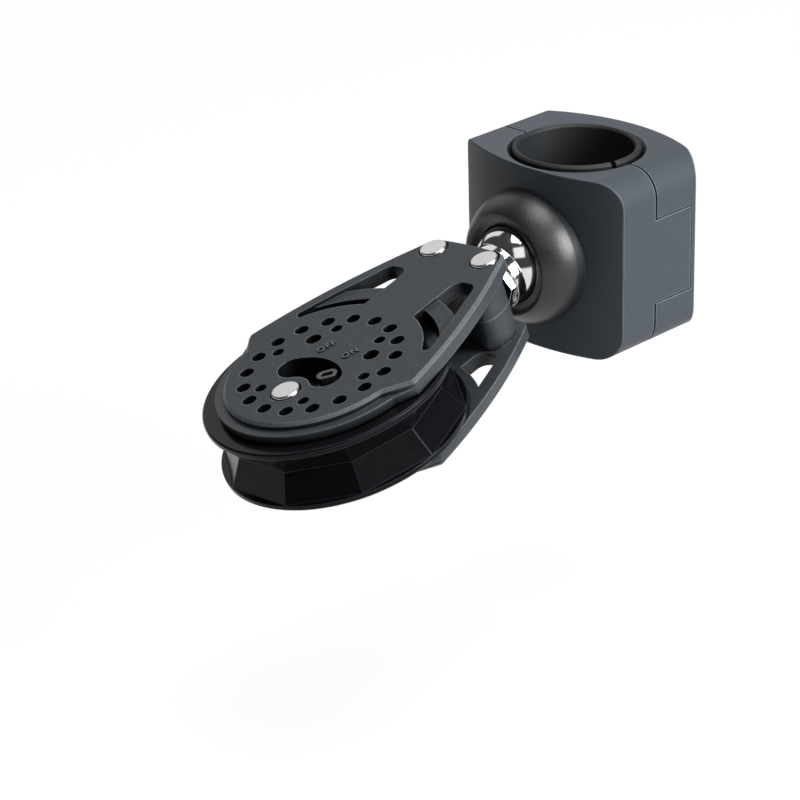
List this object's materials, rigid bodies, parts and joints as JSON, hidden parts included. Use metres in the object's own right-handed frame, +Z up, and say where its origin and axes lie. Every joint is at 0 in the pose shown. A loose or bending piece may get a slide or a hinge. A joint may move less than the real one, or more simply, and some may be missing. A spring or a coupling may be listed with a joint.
{
  "type": "ratchet block",
  "caption": "Single ratchet block with switch lever, held by a ball joint on a clamp that grips an upright one inch tube.",
  "frame": {"origin": "on the axis of the clamped tube, at the middle of the clamp's height", "axes": "+Z up along the tube, -Y out through the ball joint towards the block, +X to the right seen from the block's side"},
  "size_m": [0.0545, 0.122, 0.0524],
  "materials": {
    "clamp_nylon": "black glass filled nylon, satin moulded skin",
    "sleeve_nylon": "black nylon, matt",
    "ring_nylon": "black nylon, semi gloss",
    "cheek_nylon": "dark grey glass filled nylon, matt moulded skin",
    "sheave_acetal": "black acetal, glossy",
    "seat_nylon": "natural nylon",
    "polished_steel": "stainless steel, mirror polished",
    "rivet_steel": "stainless steel, pressed and tumbled",
    "screw_steel": "stainless steel",
    "insert_brass": "brass, turned",
    "hub_aluminium": "grey anodised aluminium",
    "ball_acetal": "white acetal",
    "pawl_steel": "hardened stainless steel",
    "lever_plastic": "black acetal"
  },
  "bodies": {
    "clamp": {"clamp_front": "clamp_nylon", "clamp_rear": "clamp_nylon", "clamp_screws": "screw_steel", "thread_inserts": "insert_brass", "stanchion_sleeve": "sleeve_nylon", "socket_ring": "ring_nylon"},
    "seat": {"ball_seat": "seat_nylon"},
    "stud": {"ball_stud": "polished_steel"},
    "block": {"cheek_upper": "cheek_nylon", "cheek_lower": "cheek_nylon", "head_rivets": "rivet_steel", "hub_rivet": "rivet_steel", "hub": "hub_aluminium", "thrust_washer": "rivet_steel", "upper_balls": "ball_acetal", "lower_balls": "ball_acetal", "pawl_pin": "pawl_steel", "pawl_spring": "pawl_steel"},
    "sheave": {"sheave": "sheave_acetal"},
    "lever": {"switch_lever": "lever_plastic"},
    "pawl": {"pawl": "pawl_steel"}
  },
  "joints": [
    {"name": "ball_turn", "type": "hinge", "parent": "clamp", "child": "seat", "pos_m": [0, -0.0194, 0], "axis": [0, 1, 0], "continuous": true},
    {"name": "ball_tilt", "type": "hinge", "parent": "seat", "child": "stud", "pos_m": [0, -0.0194, 0], "axis": [-0.9998, -0.0175, 0], "range_deg": [0, 30]},
    {"name": "head_swivel", "type": "hinge", "parent": "stud", "child": "block", "pos_m": [0, -0.0194, 0], "axis": [-0.0168, 0.9639, 0.2656], "continuous": true},
    {"name": "sheave_turn", "type": "hinge", "parent": "block", "child": "sheave", "pos_m": [0.00096, -0.07463, -0.01522], "axis": [-0.1016, -0.2659, 0.9586], "continuous": true},
    {"name": "switch", "type": "hinge", "parent": "block", "child": "lever", "pos_m": [0.00114, -0.08447, -0.01792], "axis": [-0.1016, -0.2659, 0.9586], "range_deg": [0, 50]},
    {"name": "pawl_lift", "type": "hinge", "parent": "block", "child": "pawl", "pos_m": [-0.0079, -0.06827, -0.01439], "axis": [-0.1016, -0.2659, 0.9586], "range_deg": [-14.5, 0]}
  ],
  "couplings": [
    {"joint": "pawl_lift", "follows": "switch", "ratio": -0.28}
  ]
}
